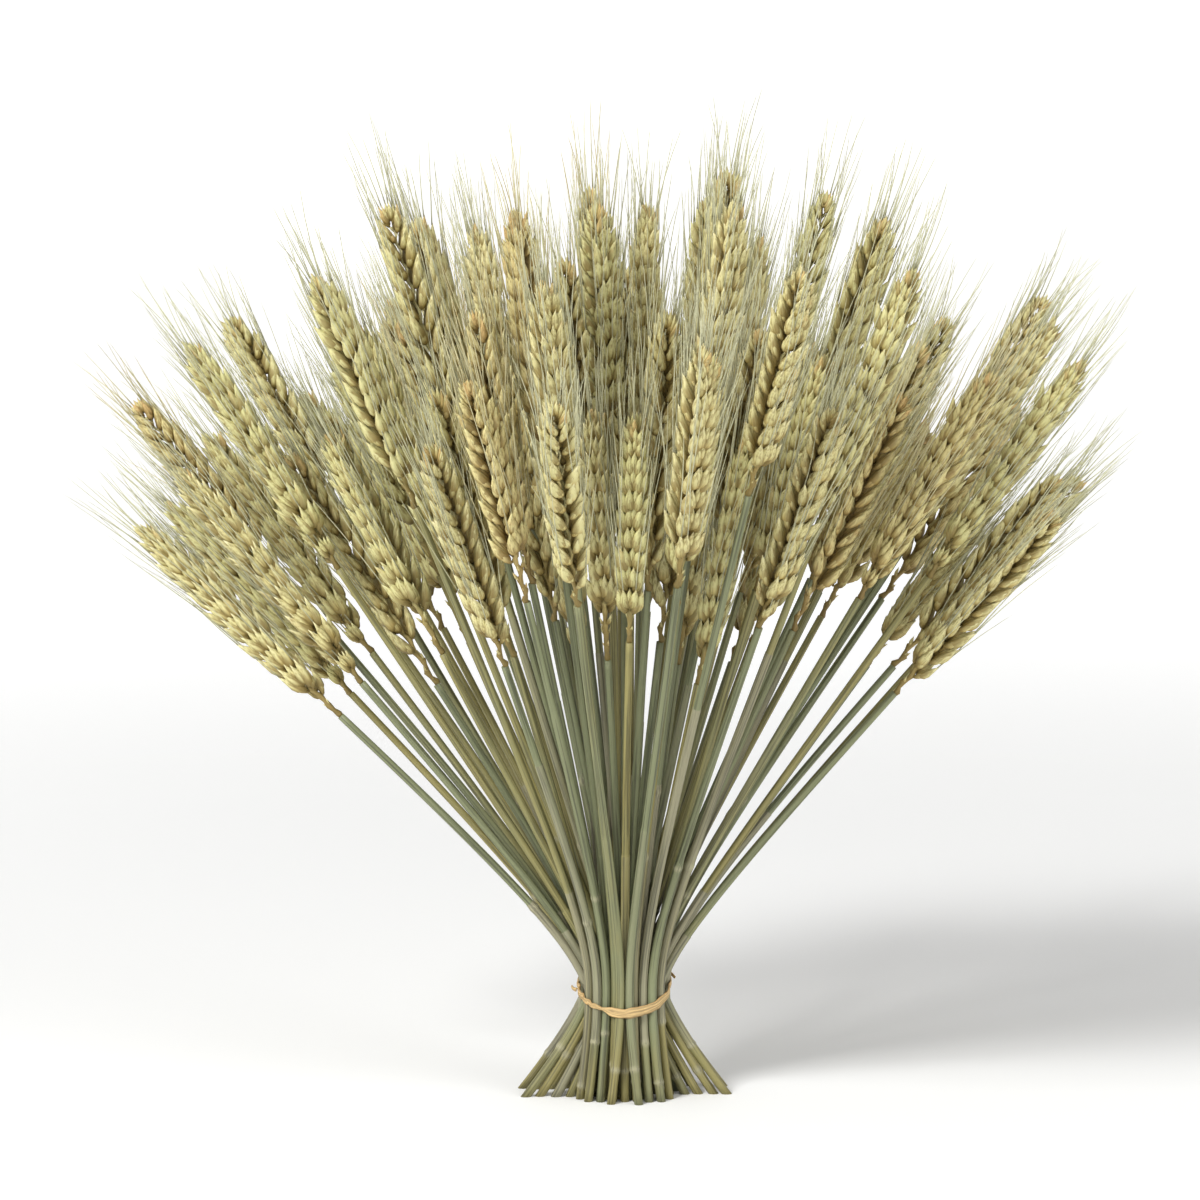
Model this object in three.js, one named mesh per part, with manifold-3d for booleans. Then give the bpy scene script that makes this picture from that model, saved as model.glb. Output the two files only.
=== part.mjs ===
// A bundle of dried bearded wheat, tied with raffia, that stands on its cut stems.
//
// Each stalk grew as one piece: a straw stem that ends in an ear. The spikelets of the ear sit left and
// right of it by turns, and awns rise between them. The stalks stand in rows, one behind the other. The
// band holds them at the waist, and they open out above and below it. The rows near the middle lean to the
// right and to the left by turns, so their stems cross behind the front ones, and the feet spread out to
// carry the bundle. In all but the outermost rows each two neighbours are pressed together under the band
// and make one solid.
//
// Millimetres, +Z up. The origin is the middle of the foot of the central stalk, on the surface that the
// bundle stands on. The broad front faces -Y.

import * as THREE from "three";
import Module from "manifold-3d";

const wasm = await Module();
wasm.setup();

// The whole bundle
const BAND_HEIGHT = 39; // the waist, above the cut ends
const WAIST_RADIUS = 16.6; // to the centres of the outermost stems
const ROW_PITCH = 3.3; // from one row of stems to the next
const OUTER_ROW = 5; // rows are counted from 0 in the middle to this one, at the front and at the back
const PAIRED_ROW = 3; // up to this row the stems stand in pairs
const LEANING_ROW = 2; // up to this row the rows lean, but for the one in the middle
const PRESSED_DEPTH = 0.14; // how far the two stems of a pair are pressed into one another
const LOOSE_PITCH = 3.4; // from one pair of stems to the next in a row
const SINGLE_PITCH = 3.3; // between the stems of the outer rows
const BEND_ABOVE = 27; // the stems take their slope over this height above the band
const BEND_BELOW = 26;

// Slopes of the stems, sideways over upwards, or angles from the vertical in degrees
const ROW_LEAN = 0.36; // slope of a leaning row where it passes the band
const RIGHT_FAN = [-8, 43]; // angles at the left and the right end of a row that leans to the right
const LEFT_FAN = [-46.5, 8]; // the same for a row that leans to the left
const UPRIGHT_FAN = [-41, 41]; // the same for a row that stands upright
const FRONT_FAN = [-23, 23]; // the same for an upright row at the front
const DEPTH_FAN = 33; // angle of the outer rows, towards the front and the back
const DEPTH_STRAY = 1.9; // how far one stalk strays from the angle of its row
const FLARE_SIDE = 0.32; // extra slope of the outermost feet
const FLARE_SIDE_OF_ALL = 0.5; // share of it that every foot gets
const FLARE_DEPTH = 0.3;
const FLARE_DEPTH_STRAY = 0.035;
const MOST_SWAY = 1.8; // how far a stem strays from its place in the fan at SWAY_HEIGHT
const SWAY_HEIGHT = 150;
const SEED = 23;

// One stalk
const TALL_REACH = 296; // from the band to the tip of a tall and upright ear, along the stalk
const SHORT_REACH = 234;
const TIERS = [0.45, 0, 1]; // neighbours are tall, short and in between by turns: shares of the difference
const REACH_LOST_BY_LEANING = 52; // by a tall stalk at 45 degrees
const LEANING_POWER = 6; // little is lost at smaller angles
const REACH_SPREAD = 11;
const STEM_WIDTH = [2.65, 2.3]; // at the foot and at the neck
const WAIST_STEM_WIDTH = 2.58;
const STEM_RINGS = [-BAND_HEIGHT, -12, 0, 14, 48]; // heights above the band at which its sections lie
const STEM_ROLL = 0.1; // its section is turned by up to this angle
const EAR_LENGTH = [84, 104];
const EAR_WIDTH = 14.2; // across the two rows of spikelets
const EAR_DEPTH = 10;
const EAR_TIP = 2; // above the highest spikelet
const FULL_AT_NECK = 0.45; // share of the ear's width at its two ends
const FULL_AT_TIP = 0.42;
const WIDENS_OVER = 0.14; // share of the ear's length in which it comes to its full width
const NARROWS_OVER = 0.28;
const NOTCH_WIDTH = 6.4; // across the ear between two spikelets of one side
const ZIGZAG = 0.16; // how far the spine of the ear moves towards each spikelet, in half widths
const SPIKELETS = 12; // on both sides together
const SPIKELET_TIP_RISE = 0.6; // how far its tip stands above its place, in steps of the ear
const AWN_STEPS = [2, 4, 5, 7, 9, 11]; // steps of the ear that carry an awn, by turns round the ear
const AWN_LENGTH = [60, 34]; // of the lowest and of the highest, which ends far above the tip
const AWN_LENGTH_SPREAD = 4;
const AWN_RADIUS = 0.42; // of a three-sided needle at its root
const AWN_SPLAY = [0.08, 0.11]; // slope away from the ear of the lowest and the highest awn

// The band
const BAND_GAP = 0.55; // to the outermost stems
const BAND_THICKNESS = 0.9;
const BAND_TALL = [1.9, 3.4]; // where it is twisted, and where it lies flat
const BAND_TWIST_ANGLE = 205; // where it is twisted, in degrees round the bundle from +X towards +Y
const BAND_TILT = 5; // how much lower it passes at the front, and higher at the back
const BAND_RISE = 1.6; // how much higher it passes at both sides
const BAND_STEPS = 36;
const KNOT_ANGLE = 46; // just out of sight behind the right-hand side
const KNOT_SIZE = [5, 3.2, 4.2]; // along the band, outwards and upwards
const END_REACH = [6, 2.4, -2]; // of each cut end from the knot: along the band, outwards and upwards
const END_WIDTH = 2.2;

// Colours
const PALE_STRAW = new THREE.MeshStandardMaterial({ color: 0xbdb782, roughness: 0.75, metalness: 0 });
const GOLDEN_STRAW = new THREE.MeshStandardMaterial({ color: 0xc9ad6c, roughness: 0.75, metalness: 0 });
const RAFFIA = new THREE.MeshStandardMaterial({ color: 0xc8a468, roughness: 0.8, metalness: 0 });
const GOLDEN_EVERY = 7;

const radians = THREE.MathUtils.degToRad;
const mix = THREE.MathUtils.lerp;

// A number from 0 to 1 that is always the same for one stalk and one use.
function chance(stalk, use) {
  const wide = Math.sin(stalk * 127.1 + (use + SEED) * 311.7) * 43758.5453;
  return wide - Math.floor(wide);
}

function spread(stalk, use, [low, high]) {
  return mix(low, high, chance(stalk, use));
}

// A closed body through rings of points, from a flat foot to a pointed tip.
function loft(rings, tip) {
  const sides = rings[0].length;
  const points = [...rings.flat(), tip];
  const faces = [];
  for (let side = 1; side < sides - 1; side++) faces.push([0, side + 1, side]);
  for (let ring = 0; ring < rings.length; ring++) {
    for (let side = 0; side < sides; side++) {
      const here = ring * sides + side;
      const next = ring * sides + ((side + 1) % sides);
      if (ring === rings.length - 1) faces.push([here, next, points.length - 1]);
      else faces.push([here, next, next + sides], [here, next + sides, here + sides]);
    }
  }
  return { points, faces };
}

// Grows a three-sided needle out of a corner of a body. Three points take the corner's place, and the faces
// that met there now meet the nearest of the three.
function growNeedle(body, corner, outwards, upwards, end) {
  const root = body.points[corner];
  const sideways = outwards.clone().cross(upwards).normalize().negate();
  const foot = [
    [0, 1.4, -2],
    [1, -0.6, 0.6],
    [-1, -0.6, 0.6],
  ].map(([across, out, up]) =>
    root
      .clone()
      .addScaledVector(sideways, across * AWN_RADIUS)
      .addScaledVector(outwards, out * AWN_RADIUS)
      .addScaledVector(upwards, up * AWN_RADIUS),
  );
  const first = body.points.length;
  body.points.push(...foot, end);
  const nearest = (index) => {
    const away = body.points[index].clone().sub(root);
    const turn = Math.atan2(away.dot(upwards), away.dot(sideways)) / Math.PI;
    if (turn < -1 / 6 && turn > -5 / 6) return 0;
    return turn >= -1 / 6 && turn < 1 / 2 ? 1 : 2;
  };
  const kept = body.faces.filter((face) => !face.includes(corner));
  const fan = body.faces
    .filter((face) => face.includes(corner))
    .map((face) => {
      const at = face.indexOf(corner);
      return [face[(at + 1) % 3], face[(at + 2) % 3]];
    });
  for (const [from, to] of fan) {
    let mine = nearest(from);
    kept.push([first + mine, from, to]);
    while (mine !== nearest(to)) {
      const following = (mine + 1) % 3;
      kept.push([first + mine, to, first + following]);
      mine = following;
    }
  }
  for (let side = 0; side < 3; side++) kept.push([first + side, first + ((side + 1) % 3), first + 3]);
  body.faces = kept;
}

// A closed surface through sections that follow one another round a loop.
function loop(sections) {
  const sides = sections[0].length;
  const points = sections.flat();
  const faces = [];
  for (let step = 0; step < sections.length; step++) {
    for (let side = 0; side < sides; side++) {
      const here = step * sides + side;
      const beside = step * sides + ((side + 1) % sides);
      const ahead = (here + sides) % points.length;
      const across = (beside + sides) % points.length;
      faces.push([here, across, beside], [here, ahead, across]);
    }
  }
  return { points, faces };
}

// A body as a solid, without the points that no face uses any more.
function solidOf({ points, faces }) {
  const used = [...new Set(faces.flat())];
  const place = new Map(used.map((index, order) => [index, order]));
  const vertProperties = new Float32Array(used.flatMap((index) => points[index].toArray()));
  const triVerts = new Uint32Array(faces.flat().map((index) => place.get(index)));
  return new wasm.Manifold(new wasm.Mesh({ numProp: 3, vertProperties, triVerts }));
}

function meshOf(name, solid, material) {
  const { vertProperties, triVerts } = solid.getMesh();
  const geometry = new THREE.BufferGeometry();
  geometry.setAttribute("position", new THREE.BufferAttribute(vertProperties, 3));
  geometry.setIndex(new THREE.BufferAttribute(triVerts, 1));
  geometry.computeVertexNormals();
  const mesh = new THREE.Mesh(geometry, material);
  mesh.name = name;
  return mesh;
}

// All the stalks, in groups of one or of two that are pressed together, from the front row to the back.
function stalkGroups() {
  const groups = [];
  let number = 0;
  for (let row = -OUTER_ROW; row <= OUTER_ROW; row++) {
    const places = placesInRow(row);
    const last = places.flat().length - 1;
    let order = 0;
    for (const group of places) {
      groups.push(group.map((x) => stalkAt(number++, { row, x, order: order++, last })));
    }
  }
  return groups;
}

function halfChord(row) {
  return Math.sqrt(WAIST_RADIUS ** 2 - (row * ROW_PITCH) ** 2);
}

// Places of the stems of a row in their groups, from left to right. Every other row has one in its middle.
function placesInRow(row) {
  const paired = Math.abs(row) <= PAIRED_ROW;
  const pressed = paired ? (WAIST_STEM_WIDTH - PRESSED_DEPTH) * Math.hypot(1, leanOf(row)) : SINGLE_PITCH;
  const loose = paired ? LOOSE_PITCH : SINGLE_PITCH;
  const right = [row % 2 === 0 ? 0 : pressed / 2];
  for (let gap = loose; right.at(-1) + gap < halfChord(row); gap = gap === loose ? pressed : loose) {
    right.push(right.at(-1) + gap);
  }
  const middle = row % 2 === 0 ? [0] : [-right[0], right[0]];
  const groups = [];
  for (let first = 1; first < right.length; first += 2) groups.push(right.slice(first, first + 2));
  const mirrored = groups.map((group) => group.map((x) => -x).reverse()).reverse();
  const all = [...mirrored, middle, ...groups];
  return paired ? all : all.flat().map((x) => [x]);
}

// Slope of a row where it passes the band.
function leanOf(row) {
  if (row === 0 || Math.abs(row) > LEANING_ROW) return 0;
  return Math.sign(row) * (row % 2 === 0 ? -1 : 1) * ROW_LEAN;
}

// Angles of the stems at the left and the right end of a row.
function fanOf(row) {
  const lean = leanOf(row);
  if (lean === 0) return row < -LEANING_ROW ? FRONT_FAN : UPRIGHT_FAN;
  return lean > 0 ? RIGHT_FAN : LEFT_FAN;
}

// What sets one stalk's line: where it passes the waist, and its slopes above and below.
function stalkAt(number, { row, x, order, last }) {
  const central = row === 0 && x === 0; // this one is straight
  const sway = central ? 0 : MOST_SWAY;
  const stray = central ? 0 : DEPTH_STRAY;
  const flareStray = central ? 0 : FLARE_DEPTH_STRAY;
  const lean = leanOf(row);
  const share = order / last; // 0 at the left end of the row, 1 at the right
  const side = 2 * share - 1;
  const slopeX = Math.tan(radians(mix(...fanOf(row), share) * Math.sqrt(halfChord(row) / WAIST_RADIUS)));
  const depthAngle = (DEPTH_FAN * row) / OUTER_ROW + spread(number, 7, [-stray, stray]);
  const slopeY = Math.tan(radians(depthAngle));
  const leaned = Math.atan(Math.hypot(slopeX, slopeY)) / radians(45);
  const tier = TIERS[(OUTER_ROW + row + 2 * order) % TIERS.length];
  const trailing = side * lean < 0 ? side : 0; // a leaning row spreads its feet at the end behind it
  return {
    number,
    x,
    y: row * ROW_PITCH,
    lean,
    slopeX: slopeX - lean,
    slopeY,
    flareX: (FLARE_SIDE_OF_ALL * side + trailing) * FLARE_SIDE,
    flareY: (row / OUTER_ROW) * FLARE_DEPTH + spread(number, 8, [-flareStray, flareStray]),
    swayX: spread(number, 1, [-sway, sway]),
    swayY: spread(number, 2, [-sway, sway]),
    roll: Math.PI * chance(number, 3),
    ear: spread(number, 4, EAR_LENGTH),
    stemRoll: spread(number, 6, [-STEM_ROLL, STEM_ROLL]),
    reach:
      mix(SHORT_REACH, TALL_REACH - REACH_LOST_BY_LEANING * leaned ** LEANING_POWER, tier) +
      spread(number, 5, [-REACH_SPREAD, REACH_SPREAD]),
  };
}

// The point of a stalk at a height above the band, or below it.
function pointAt(stalk, height) {
  const above = height > 0;
  const bend = above ? BEND_ABOVE : BEND_BELOW;
  const opened = Math.hypot(height, bend) - bend;
  const sway = above ? (height / SWAY_HEIGHT) ** 2 : 0;
  return new THREE.Vector3(
    stalk.x + stalk.lean * height + (above ? stalk.slopeX : stalk.flareX) * opened + stalk.swayX * sway,
    stalk.y + (above ? stalk.slopeY : stalk.flareY) * opened + stalk.swayY * sway,
    BAND_HEIGHT + height,
  );
}

// The point and the three directions of a stalk at a height: along it, across the ear and through it.
function frameAt(stalk, height) {
  const origin = pointAt(stalk, height);
  const along = pointAt(stalk, height + 0.5).sub(pointAt(stalk, height - 0.5)).normalize();
  const right = new THREE.Vector3(1, 0, 0).projectOnPlane(along).normalize();
  const back = along.clone().cross(right);
  return { origin, along, right, back };
}

// A point beside a frame's origin.
function beside({ origin, along, right, back }, x, y, z = 0) {
  return origin.clone().addScaledVector(right, x).addScaledVector(back, y).addScaledVector(along, z);
}

// The same frame, turned about the stalk.
function turned(frame, angle) {
  return {
    ...frame,
    right: frame.right.clone().applyAxisAngle(frame.along, angle),
    back: frame.back.clone().applyAxisAngle(frame.along, angle),
  };
}

// Height above the band at which the stalk has run a given length from the band.
function heightAfter(stalk, length) {
  const step = 1;
  let run = 0;
  let height = 0;
  while (run < length) {
    run += pointAt(stalk, height + step).distanceTo(pointAt(stalk, height));
    height += step;
  }
  return height;
}

// Four corners of the stem at a height. At the foot they are slid along the stem to the ground.
function stemRing(stalk, height, neck) {
  const frame = turned(frameAt(stalk, height), stalk.stemRoll);
  const half = mix(...STEM_WIDTH, (height + BAND_HEIGHT) / (neck + BAND_HEIGHT)) / 2;
  const corners = [
    [half, -half],
    [half, half],
    [-half, half],
    [-half, -half],
  ].map(([x, y]) => beside(frame, x, y));
  if (height === -BAND_HEIGHT) {
    for (const corner of corners) corner.addScaledVector(frame.along, -corner.z / frame.along.z);
  }
  return corners;
}

// The four corners at any height near the band, on the straight run between two rings.
function stemCorners(stalk, height) {
  const neck = heightAfter(stalk, stalk.reach - stalk.ear);
  const upper = STEM_RINGS.findIndex((ring) => ring >= height);
  const [low, high] = [STEM_RINGS[upper - 1], STEM_RINGS[upper]];
  const top = stemRing(stalk, high, neck);
  const share = (height - low) / (high - low);
  return stemRing(stalk, low, neck).map((corner, side) => corner.lerp(top[side], share));
}

// How full the ear is at a share of its length, from 0 at the neck to 1 at the tip.
function fullness(share) {
  const fromNeck = mix(FULL_AT_NECK, 1, Math.min(1, share / WIDENS_OVER));
  const fromTip = mix(FULL_AT_TIP, 1, Math.min(1, (1 - share) / NARROWS_OVER));
  return Math.min(fromNeck, fromTip);
}

// Four corners of the ear at one step: a spikelet's tip on one side and a notch on the other, by turns.
function earRing(stalk, step, neck, top) {
  const share = (step + 0.5) / (SPIKELETS + 0.5);
  const frame = turned(frameAt(stalk, mix(neck, top, share)), stalk.roll);
  const rise = (SPIKELET_TIP_RISE * stalk.ear) / SPIKELETS;
  const full = fullness(share);
  const out = (full * EAR_WIDTH) / 2;
  const notch = (full * NOTCH_WIDTH) / 2;
  const deep = (full * EAR_DEPTH) / 2;
  const rightSide = step % 2 === 0;
  const shift = (rightSide ? ZIGZAG : -ZIGZAG) * out;
  return [
    beside(frame, rightSide ? out : notch, 0, rightSide ? rise : 0),
    beside(frame, shift, deep),
    beside(frame, rightSide ? -notch : -out, 0, rightSide ? 0 : rise),
    beside(frame, shift, -deep),
  ];
}

// Turns the rings of the ear in their order of corners, so that they follow on from the corners of the stem.
function cornerShift(stemCorners, earCorners) {
  const distance = (shift) =>
    stemCorners.reduce((sum, corner, side) => sum + corner.distanceTo(earCorners[(side + shift) % 4]), 0);
  return [0, 1, 2, 3].reduce((best, next) => (distance(next) < distance(best) ? next : best));
}

function stalkSolid(stalk) {
  const neck = heightAfter(stalk, stalk.reach - stalk.ear);
  const top = heightAfter(stalk, stalk.reach);
  const stem = [...STEM_RINGS, neck].map((height) => stemRing(stalk, height, neck));
  const ear = Array.from({ length: SPIKELETS }, (_, step) => earRing(stalk, step, neck, top));
  const shift = cornerShift(stem.at(-1), ear[0]);
  const aligned = ear.map((ring) => [...ring.slice(shift), ...ring.slice(0, shift)]);
  const body = loft([...stem, ...aligned], beside(frameAt(stalk, top), 0, 0, EAR_TIP));
  AWN_STEPS.forEach((step, order) => {
    const side = awnSide(step, order);
    const corner = (stem.length + step) * 4 + ((side - shift + 4) % 4);
    const frame = turned(frameAt(stalk, mix(neck, top, step / SPIKELETS)), stalk.roll + (side * Math.PI) / 2);
    growAwn(body, corner, frame, stalk.number, order);
  });
  return solidOf(body);
}

// The awn of a given order, from the lowest to the highest, out of a corner that faces the frame's right.
function growAwn(body, corner, frame, number, order) {
  const share = order / (AWN_STEPS.length - 1);
  const odds = spread(number, 20 + order, [-AWN_LENGTH_SPREAD, AWN_LENGTH_SPREAD]);
  const length = mix(...AWN_LENGTH, share) + odds;
  const end = beside({ ...frame, origin: body.points[corner] }, length * mix(...AWN_SPLAY, share), 0, length);
  growNeedle(body, corner, frame.right, frame.along, end);
}

// The corner of the ear that an awn grows from: a spikelet's tip, or the front or the back, by turns.
function awnSide(step, order) {
  if (order % 2 === 0) return step % 2 === 0 ? 0 : 2;
  return order % 4 === 1 ? 1 : 3;
}

// The band's middle, size and distance at an angle round the bundle, stretched over the outermost stems.
function bandFrame(stalks, angle) {
  const outwards = new THREE.Vector3(Math.cos(angle), Math.sin(angle), 0);
  const height = BAND_TILT * Math.sin(angle) + BAND_RISE * Math.cos(2 * angle);
  const twisted = Math.max(0, Math.cos(angle - radians(BAND_TWIST_ANGLE))) ** 2;
  const tall = mix(BAND_TALL[1], BAND_TALL[0], twisted);
  const corners = stalks.flatMap((stalk) =>
    [-1, 0, 1].flatMap((end) => stemCorners(stalk, height + (end * tall) / 2)),
  );
  const inner = Math.max(...corners.map((corner) => corner.dot(outwards))) + BAND_GAP;
  return { outwards, radius: inner + BAND_THICKNESS / 2, height: BAND_HEIGHT + height, tall };
}

function bandSection({ outwards, radius, height, tall }) {
  return [
    [-1, -1],
    [1, -1],
    [1, 1],
    [-1, 1],
  ].map(([out, up]) => {
    const point = outwards.clone().multiplyScalar(radius + (out * BAND_THICKNESS) / 2);
    return point.setZ(height + (up * tall) / 2);
  });
}

// The knot and the two cut ends that stand out of it.
function knotSolids({ outwards, radius, height }) {
  const upwards = new THREE.Vector3(0, 0, 1);
  const around = upwards.clone().cross(outwards);
  const centre = outwards.clone().multiplyScalar(radius + (KNOT_SIZE[1] - BAND_THICKNESS) / 2).setZ(height);
  const place = new THREE.Matrix4().makeBasis(around, outwards.clone().negate(), upwards).setPosition(centre);
  const knot = new THREE.IcosahedronGeometry(0.5, 1).scale(...KNOT_SIZE).applyMatrix4(place);
  const ends = [-1, 1].map((side) => {
    const [along, out, up] = END_REACH;
    const tip = new THREE.Vector3(side * along, -out, up).applyMatrix4(place);
    const root = [
      [-1, -1],
      [1, -1],
      [1, 1],
      [-1, 1],
    ].map(([x, z]) =>
      centre
        .clone()
        .addScaledVector(outwards, (-side * x * BAND_THICKNESS) / 2)
        .addScaledVector(upwards, (z * END_WIDTH) / 2),
    );
    return solidOf(loft([root, root.map((point) => point.clone().lerp(tip, 0.75))], tip));
  });
  return [solidOf(bodyOf(knot)), ...ends];
}

// The faces of a three.js geometry, with the points that they share merged.
function bodyOf(geometry) {
  const position = geometry.getAttribute("position");
  const seen = new Map();
  const points = [];
  const corners = Array.from({ length: position.count }, (_, index) => {
    const point = new THREE.Vector3().fromBufferAttribute(position, index);
    const key = point.toArray().map((value) => value.toFixed(3)).join();
    if (!seen.has(key)) seen.set(key, points.push(point) - 1);
    return seen.get(key);
  });
  const faces = [];
  for (let first = 0; first < corners.length; first += 3) faces.push(corners.slice(first, first + 3));
  return { points, faces };
}

function bandSolid(stalks) {
  const sections = Array.from({ length: BAND_STEPS }, (_, step) => {
    return bandSection(bandFrame(stalks, (2 * Math.PI * step) / BAND_STEPS));
  });
  const knot = knotSolids(bandFrame(stalks, radians(KNOT_ANGLE)));
  return knot.reduce((whole, solid) => whole.add(solid), solidOf(loop(sections)));
}

function build() {
  const bundle = new THREE.Group();
  const groups = stalkGroups();
  groups.forEach((group, index) => {
    const solid = group.map(stalkSolid).reduce((whole, next) => whole.add(next));
    const name = `stalk_${String(index + 1).padStart(2, "0")}`;
    bundle.add(meshOf(name, solid, index % GOLDEN_EVERY === 3 ? GOLDEN_STRAW : PALE_STRAW));
  });
  bundle.add(meshOf("band", bandSolid(groups.flat()), RAFFIA));
  return bundle;
}

export default build();
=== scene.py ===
"""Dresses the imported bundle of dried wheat: fine stalks with husks and awns, and a fibrous raffia tie."""

import math
import random
from dataclasses import dataclass

import bpy
import numpy as np
from mathutils import Matrix, Vector


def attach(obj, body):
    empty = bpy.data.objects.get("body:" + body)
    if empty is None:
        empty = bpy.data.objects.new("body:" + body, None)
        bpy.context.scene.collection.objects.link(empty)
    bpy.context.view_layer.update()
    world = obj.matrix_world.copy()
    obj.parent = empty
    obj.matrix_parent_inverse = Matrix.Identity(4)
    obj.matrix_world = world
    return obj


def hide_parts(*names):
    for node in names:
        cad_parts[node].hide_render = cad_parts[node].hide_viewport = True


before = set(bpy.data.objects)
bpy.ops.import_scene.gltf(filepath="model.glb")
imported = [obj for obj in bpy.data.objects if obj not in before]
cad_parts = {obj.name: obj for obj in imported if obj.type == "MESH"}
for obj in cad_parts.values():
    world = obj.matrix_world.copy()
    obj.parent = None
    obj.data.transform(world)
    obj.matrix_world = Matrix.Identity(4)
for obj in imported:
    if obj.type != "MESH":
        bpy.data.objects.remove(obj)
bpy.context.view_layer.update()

bl_info = {
    "name": "Dried wheat bundle",
    "version": (1, 0, 0),
    "blender": (4, 5, 0),
    "location": "3D View > Sidebar > Wheat",
    "description": "Makes a tied bundle of dried bearded wheat around its packed solids",
    "category": "Add Mesh",
}

MM = 0.001

# How the stalks stand, in millimetres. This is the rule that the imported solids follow.
BAND_HEIGHT = 39
WAIST_RADIUS = 16.6
ROW_PITCH = 3.3
OUTER_ROW = 5
PAIRED_ROW = 3
LEANING_ROW = 2
PRESSED_PITCH = 2.44
LOOSE_PITCH = 3.4
SINGLE_PITCH = 3.3
BEND_ABOVE = 27
BEND_BELOW = 26
ROW_LEAN = 0.36
RIGHT_FAN = (-8, 43)
LEFT_FAN = (-46.5, 8)
UPRIGHT_FAN = (-41, 41)
FRONT_FAN = (-23, 23)
DEPTH_FAN = 33
DEPTH_STRAY = 1.9
FLARE_SIDE = 0.32
FLARE_SIDE_OF_ALL = 0.5
FLARE_DEPTH = 0.3
FLARE_DEPTH_STRAY = 0.035
MOST_SWAY = 1.8
SWAY_HEIGHT = 150
SEED = 23
TALL_REACH = 296
SHORT_REACH = 234
TIERS = (0.45, 0, 1)
REACH_LOST_BY_LEANING = 52
LEANING_POWER = 6
REACH_SPREAD = 11
EAR_LENGTHS = (84, 104)
GOLDEN_EVERY = 7
GOLDEN_FIRST = 3

# The straight forms that are bent to each stalk's line, in millimetres
STEM_LENGTH = 240
STEM_SIDES = 10
STEM_STEP = 5
STEM_TAPER = 0.82  # its width at the neck, as a share of that at the foot
HOLLOW_DEPTH = 6
HOLLOW_SHARE = 0.62
JOINT_SWELL = 0.24
JOINT_HALF_LENGTH = 1.3
JOINT_SECTIONS = (-1.5, -0.7, 0, 0.7, 1.5)  # places of sections beside a joint, in its half lengths
SHEATH_STEP = 0.14
SHEATH_EDGE = 0.2
STEM_KINDS = (  # heights of the joints, and of the end of the leaf sheath, on a straight stem
    ((15,), 128),
    ((27,), 95),
    ((9, 118), 121),
    ((), 61),
    ((22,), 158),
    ((5,), 84),
    ((31, 97), 186),
)
EAR_LENGTH = 94
EAR_KINDS = 7
SPIKELETS = 24
TOP_SPIKELET = 86
CROWDING = 1.18  # power by which the spikelets crowd towards the tip
WIDENS_OVER = 0.14
NARROWS_OVER = 0.28
FULL_AT_NECK = 0.4
FULL_AT_TIP = 0.6
SPIKELET_LEAN_STRAY = 2.5
SPIKELET_TURN_STRAY = 7
TOP_LEAN = -14
TOP_SETBACK = 1.9
HUSK_LEAN_STRAY = 2
HUSK_TURN_STRAY = 6
HUSK_SIZES = (0.92, 1.06)
HUSK_TINTS = (0.7, 1.0)  # most tint in the middle of an ear, and a tenth of the ear past it
MIDDLE_OF_EAR = (0.1, 0.85)
AWN_SIDES = 3
AWN_FORM_LENGTH = 60
AWN_SECTIONS = ((0, 1), (9, 0.86), (22, 0.7), (38, 0.52), (52, 0.36))  # height, and share of its width
AWN_LENGTHS = (56, 33)
AWN_LENGTH_SPREAD = 0.5  # share of its length that an awn may lack
AWN_SLOPES = (0.04, 0.17)
AWN_BOWS = (-3.0, 0.6, 3.4)
AWN_STRAY = 0.035
LINE_STEP = 2.0  # between the points of a stalk's line
FIBRE_SHIFT = 97  # between the patterns of one stalk and the next

# What each draw of chance is used for
SWAY_DRAWS = (1, 2)
ROLL_DRAW = 3
LENGTH_DRAW = 4
REACH_DRAW = 5
DEPTH_DRAW = 7
FLARE_DRAW = 8
TURN_DRAW = 31
STEM_DRAW = 32
EAR_DRAW = 42
TONE_DRAW = 34

# Sections of the forms: height, shift outwards, half the thickness and half the width
LEMMA = (
    (0.0, 0.00, 0.50, 0.60),
    (1.0, 0.30, 1.20, 1.60),
    (3.0, 0.65, 1.60, 2.10),
    (5.4, 0.75, 1.50, 2.00),
    (7.8, 0.50, 0.95, 1.25),
    (9.8, 0.30, 0.42, 0.50),
    (12.0, 0.40, 0.0, 0.0),
)
GLUME = (
    (0.0, 0.00, 0.40, 0.60),
    (0.9, 0.25, 0.85, 1.50),
    (2.8, 0.55, 1.05, 1.90),
    (5.0, 0.60, 0.95, 1.65),
    (7.0, 0.50, 0.60, 1.00),
    (8.8, 0.50, 0.28, 0.38),
    (10.6, 0.85, 0.0, 0.0),
)
HUSK_SIDES = 8
KEEL = 0.42
KEEL_SPAN = (0.1, 0.9)  # where it starts and ends, as shares of the husk's height

# The spine of an ear at its foot: shift aside, half the thickness and half the width
SPINE = (0.3, 0.8, 0.85)
SPINE_KNOB = (0.6, 1.35, 1.2)
SPINE_SIDES = 6
SPINE_AT_TIP = 0.45  # its size at the tip, as a share of that at the foot
SPINE_TINT = 0.6

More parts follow.
